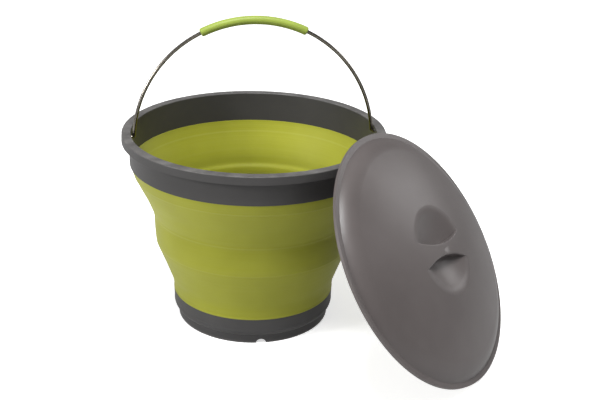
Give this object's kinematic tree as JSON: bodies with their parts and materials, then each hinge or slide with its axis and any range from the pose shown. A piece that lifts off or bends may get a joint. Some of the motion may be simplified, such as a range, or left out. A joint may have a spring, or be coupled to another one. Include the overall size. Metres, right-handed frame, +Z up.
{
  "type": "collapsible camp toilet bucket",
  "caption": "Collapsible round bucket with a rigid rim and base, a folding rubber wall, a wire bail with a soft grip, and a loose domed lid leaning on it.",
  "frame": {"origin": "centre of the foot ring on the floor", "axes": "+Z up along the bucket's axis, +X along the bail's pivots, -Y towards the front where the foot's notch is"},
  "size_m": [0.4028, 0.3838, 0.3318],
  "materials": {
    "rim_plastic": "satin moulded grey",
    "base_plastic": "satin moulded grey",
    "lid_plastic": "satin moulded grey",
    "sleeve_rubber": "soft matt green",
    "grip_rubber": "soft satin green",
    "bail_steel": "polished stainless wire"
  },
  "bodies": {
    "base": {"base_pan": "base_plastic", "lower_band": "sleeve_rubber"},
    "lower_ring_1": {"lower_fold_ring_1": "sleeve_rubber"},
    "lower_ring_2": {"lower_fold_ring_2": "sleeve_rubber"},
    "lower_ring_3": {"lower_fold_ring_3": "sleeve_rubber"},
    "middle": {"middle_band": "sleeve_rubber"},
    "upper_ring_1": {"upper_fold_ring_1": "sleeve_rubber"},
    "upper_ring_2": {"upper_fold_ring_2": "sleeve_rubber"},
    "upper_ring_3": {"upper_fold_ring_3": "sleeve_rubber"},
    "rim": {"rim_ring": "rim_plastic", "upper_band": "sleeve_rubber"},
    "handle": {"bail": "bail_steel", "grip": "grip_rubber"},
    "lid": {"lid": "lid_plastic"}
  },
  "joints": [
    {"name": "lower_fold", "type": "slide", "parent": "base", "child": "lower_ring_1", "axis": [0, 0, -1], "range_m": [0, 0.025]},
    {"name": "lower_fold_2", "type": "slide", "parent": "lower_ring_1", "child": "lower_ring_2", "axis": [0, 0, -1], "range_m": [0, 0.031]},
    {"name": "lower_fold_3", "type": "slide", "parent": "lower_ring_2", "child": "lower_ring_3", "axis": [0, 0, -1], "range_m": [0, 0.006]},
    {"name": "lower_fold_4", "type": "slide", "parent": "lower_ring_3", "child": "middle", "axis": [0, 0, -1], "range_m": [0, 0.004]},
    {"name": "upper_fold", "type": "slide", "parent": "middle", "child": "upper_ring_1", "axis": [0, 0, -1], "range_m": [0, 0.025]},
    {"name": "upper_fold_2", "type": "slide", "parent": "upper_ring_1", "child": "upper_ring_2", "axis": [0, 0, -1], "range_m": [0, 0.032]},
    {"name": "upper_fold_3", "type": "slide", "parent": "upper_ring_2", "child": "upper_ring_3", "axis": [0, 0, -1], "range_m": [0, 0.005]},
    {"name": "upper_fold_4", "type": "slide", "parent": "upper_ring_3", "child": "rim", "axis": [0, 0, -1], "range_m": [0, 0.004]},
    {"name": "bail_swing", "type": "hinge", "parent": "rim", "child": "handle", "pos_m": [0, 0, 0.207], "axis": [1, 0, 0], "range_deg": [-85, 95]},
    {"name": "lid_lift", "type": "slide", "parent": "base", "child": "lid", "axis": [0.6452, -0.5169, 0.5626], "range_m": [0, 0.15]}
  ],
  "couplings": [
    {"joint": "lower_fold_2", "follows": "lower_fold", "ratio": 1.24},
    {"joint": "lower_fold_3", "follows": "lower_fold", "ratio": 0.24},
    {"joint": "lower_fold_4", "follows": "lower_fold", "ratio": 0.16},
    {"joint": "upper_fold_2", "follows": "upper_fold", "ratio": 1.28},
    {"joint": "upper_fold_3", "follows": "upper_fold", "ratio": 0.2},
    {"joint": "upper_fold_4", "follows": "upper_fold", "ratio": 0.16}
  ]
}
